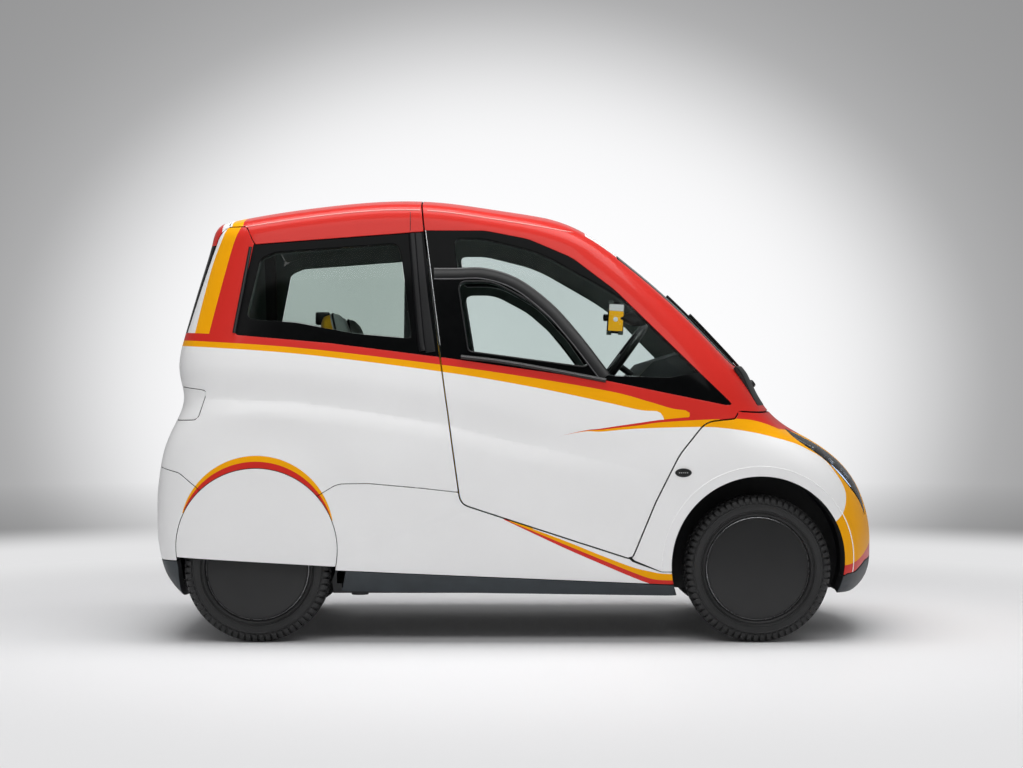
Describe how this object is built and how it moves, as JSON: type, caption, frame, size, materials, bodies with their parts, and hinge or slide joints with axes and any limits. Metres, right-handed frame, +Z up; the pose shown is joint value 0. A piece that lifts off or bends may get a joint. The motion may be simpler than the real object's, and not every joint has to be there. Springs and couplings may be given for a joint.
{
  "type": "four wheeled three seat city car",
  "caption": "Small three seat city car with a central driver, a front hinged tilting canopy, a rear hatch and covered rear wheels.",
  "frame": {"origin": "on the floor, under the middle of the car's bounding box", "axes": "+X forward, the longest extent; +Y to the car's left; +Z up"},
  "size_m": [2.5705, 1.3504, 1.5527],
  "materials": {
    "chassis": "matte black",
    "body_white": "gloss white with red and yellow stripes",
    "body_red": "gloss red",
    "trim_dark": "satin dark grey",
    "glass": "clear",
    "lamp": "clear lens",
    "tyre": "matte",
    "wheel": "satin dark",
    "running_gear": "matte",
    "engine": "cast",
    "seat": "woven grey with yellow tops",
    "cabin_plastic": "matte"
  },
  "bodies": {
    "car": {"tub": "chassis", "quarter_right": "body_white", "quarter_left": "body_white", "quarter_glass_right": "glass", "quarter_glass_left": "glass", "tail_lamp_right": "body_white", "tail_lamp_left": "body_white", "rear_roof": "body_red", "rear_bumper": "body_white", "rear_valance": "trim_dark", "rocker_right": "body_white", "rocker_left": "body_white", "sill_right": "trim_dark", "sill_left": "trim_dark", "spat_right": "body_white", "spat_left": "body_white", "front_clam": "body_white", "front_lip": "trim_dark", "headlamp_right": "lamp", "headlamp_left": "lamp", "front_subframe": "running_gear", "rear_axle": "running_gear", "engine": "engine", "driver_seat": "seat", "rear_seats": "seat", "dashboard": "cabin_plastic"},
    "canopy": {"canopy_shell": "body_red", "windscreen": "glass", "canopy_glass_right": "glass", "canopy_glass_left": "glass"},
    "hatch": {"tailgate": "body_white", "tailgate_glass": "glass"},
    "steering": {"steering_wheel": "cabin_plastic"},
    "upright_right": {"knuckle_right": "running_gear"},
    "upright_left": {"knuckle_left": "running_gear"},
    "roll_front_right": {"wheel_front_right": "wheel", "tyre_front_right": "tyre"},
    "roll_front_left": {"wheel_front_left": "wheel", "tyre_front_left": "tyre"},
    "roll_rear_right": {"wheel_rear_right": "wheel", "tyre_rear_right": "tyre"},
    "roll_rear_left": {"wheel_rear_left": "wheel", "tyre_rear_left": "tyre"}
  },
  "joints": [
    {"name": "canopy_tilt", "type": "hinge", "parent": "car", "child": "canopy", "pos_m": [0.94, 0, 0.66], "axis": [0, 1, 0], "range_deg": [0, 34]},
    {"name": "hatch_lift", "type": "hinge", "parent": "car", "child": "hatch", "pos_m": [-1.017, 0, 1.485], "axis": [0, 1, 0], "range_deg": [0, 70]},
    {"name": "steering_turn", "type": "hinge", "parent": "car", "child": "steering", "pos_m": [0.364, 0, 0.963], "axis": [0.8049, 0, -0.5934], "range_deg": [-420, 420]},
    {"name": "steer_right", "type": "hinge", "parent": "car", "child": "upright_right", "pos_m": [0.819, -0.49, 0.254], "axis": [0, 0, 1], "range_deg": [-31, 31]},
    {"name": "steer_left", "type": "hinge", "parent": "car", "child": "upright_left", "pos_m": [0.819, 0.49, 0.254], "axis": [0, 0, 1], "range_deg": [-31, 31]},
    {"name": "roll_front_right", "type": "hinge", "parent": "upright_right", "child": "roll_front_right", "pos_m": [0.819, -0.55, 0.254], "axis": [0, 1, 0], "continuous": true},
    {"name": "roll_front_left", "type": "hinge", "parent": "upright_left", "child": "roll_front_left", "pos_m": [0.819, 0.55, 0.254], "axis": [0, 1, 0], "continuous": true},
    {"name": "roll_rear_right", "type": "hinge", "parent": "car", "child": "roll_rear_right", "pos_m": [-0.901, -0.55, 0.254], "axis": [0, 1, 0], "continuous": true},
    {"name": "roll_rear_left", "type": "hinge", "parent": "car", "child": "roll_rear_left", "pos_m": [-0.901, 0.55, 0.254], "axis": [0, 1, 0], "continuous": true}
  ],
  "couplings": [
    {"joint": "steer_right", "follows": "steering_turn", "ratio": -0.0714},
    {"joint": "steer_left", "follows": "steering_turn", "ratio": -0.0714}
  ]
}
